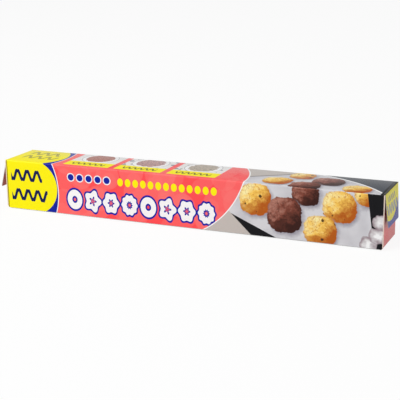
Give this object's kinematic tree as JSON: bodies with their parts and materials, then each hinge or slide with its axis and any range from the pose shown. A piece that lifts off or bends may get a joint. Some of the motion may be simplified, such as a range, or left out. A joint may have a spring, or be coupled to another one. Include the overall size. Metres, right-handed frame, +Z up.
{
  "type": "boxed roll of baking paper",
  "caption": "Long folded carton with a hinged lid, front cover flap, toothed cutter and end flaps, holding baking paper wound on a board core.",
  "frame": {"origin": "middle of the tray's flat underside, halfway along the carton and halfway between its front and back faces", "axes": "+X along the roll towards the right-hand end, +Y to the back, +Z up"},
  "size_m": [0.3205, 0.041, 0.0405],
  "materials": {
    "tray_board": "satin",
    "lid_board": "gloss",
    "front_board": "gloss",
    "end_board": "gloss",
    "cutter_steel": "satin",
    "baking_paper": "matte",
    "core_board": "matte"
  },
  "bodies": {
    "tray": {"carton_tray": "tray_board", "paper_roll": "baking_paper", "core_tube": "core_board"},
    "lid": {"lid_panel": "lid_board"},
    "front_cover": {"front_flap": "front_board", "cutter_strip": "cutter_steel"},
    "left_flap": {"left_end_flap": "end_board"},
    "right_flap": {"right_end_flap": "end_board"}
  },
  "joints": [
    {"name": "lid_hinge", "type": "hinge", "parent": "tray", "child": "lid", "pos_m": [0, 0.02004, 0.04004], "axis": [-1, 0, 0], "range_deg": [0, 180]},
    {"name": "front_cover_hinge", "type": "hinge", "parent": "lid", "child": "front_cover", "pos_m": [0, -0.02004, 0.04004], "axis": [-1, 0, 0], "range_deg": [0, 90]},
    {"name": "left_flap_hinge", "type": "hinge", "parent": "lid", "child": "left_flap", "pos_m": [-0.15455, 0, 0.04004], "axis": [0, 1, 0], "range_deg": [-20, 70], "stiffness_Nm_per_rad": 0.001},
    {"name": "right_flap_hinge", "type": "hinge", "parent": "lid", "child": "right_flap", "pos_m": [0.15455, 0, 0.04004], "axis": [0, -1, 0], "range_deg": [-4.5, 85.5], "stiffness_Nm_per_rad": 0.001}
  ]
}
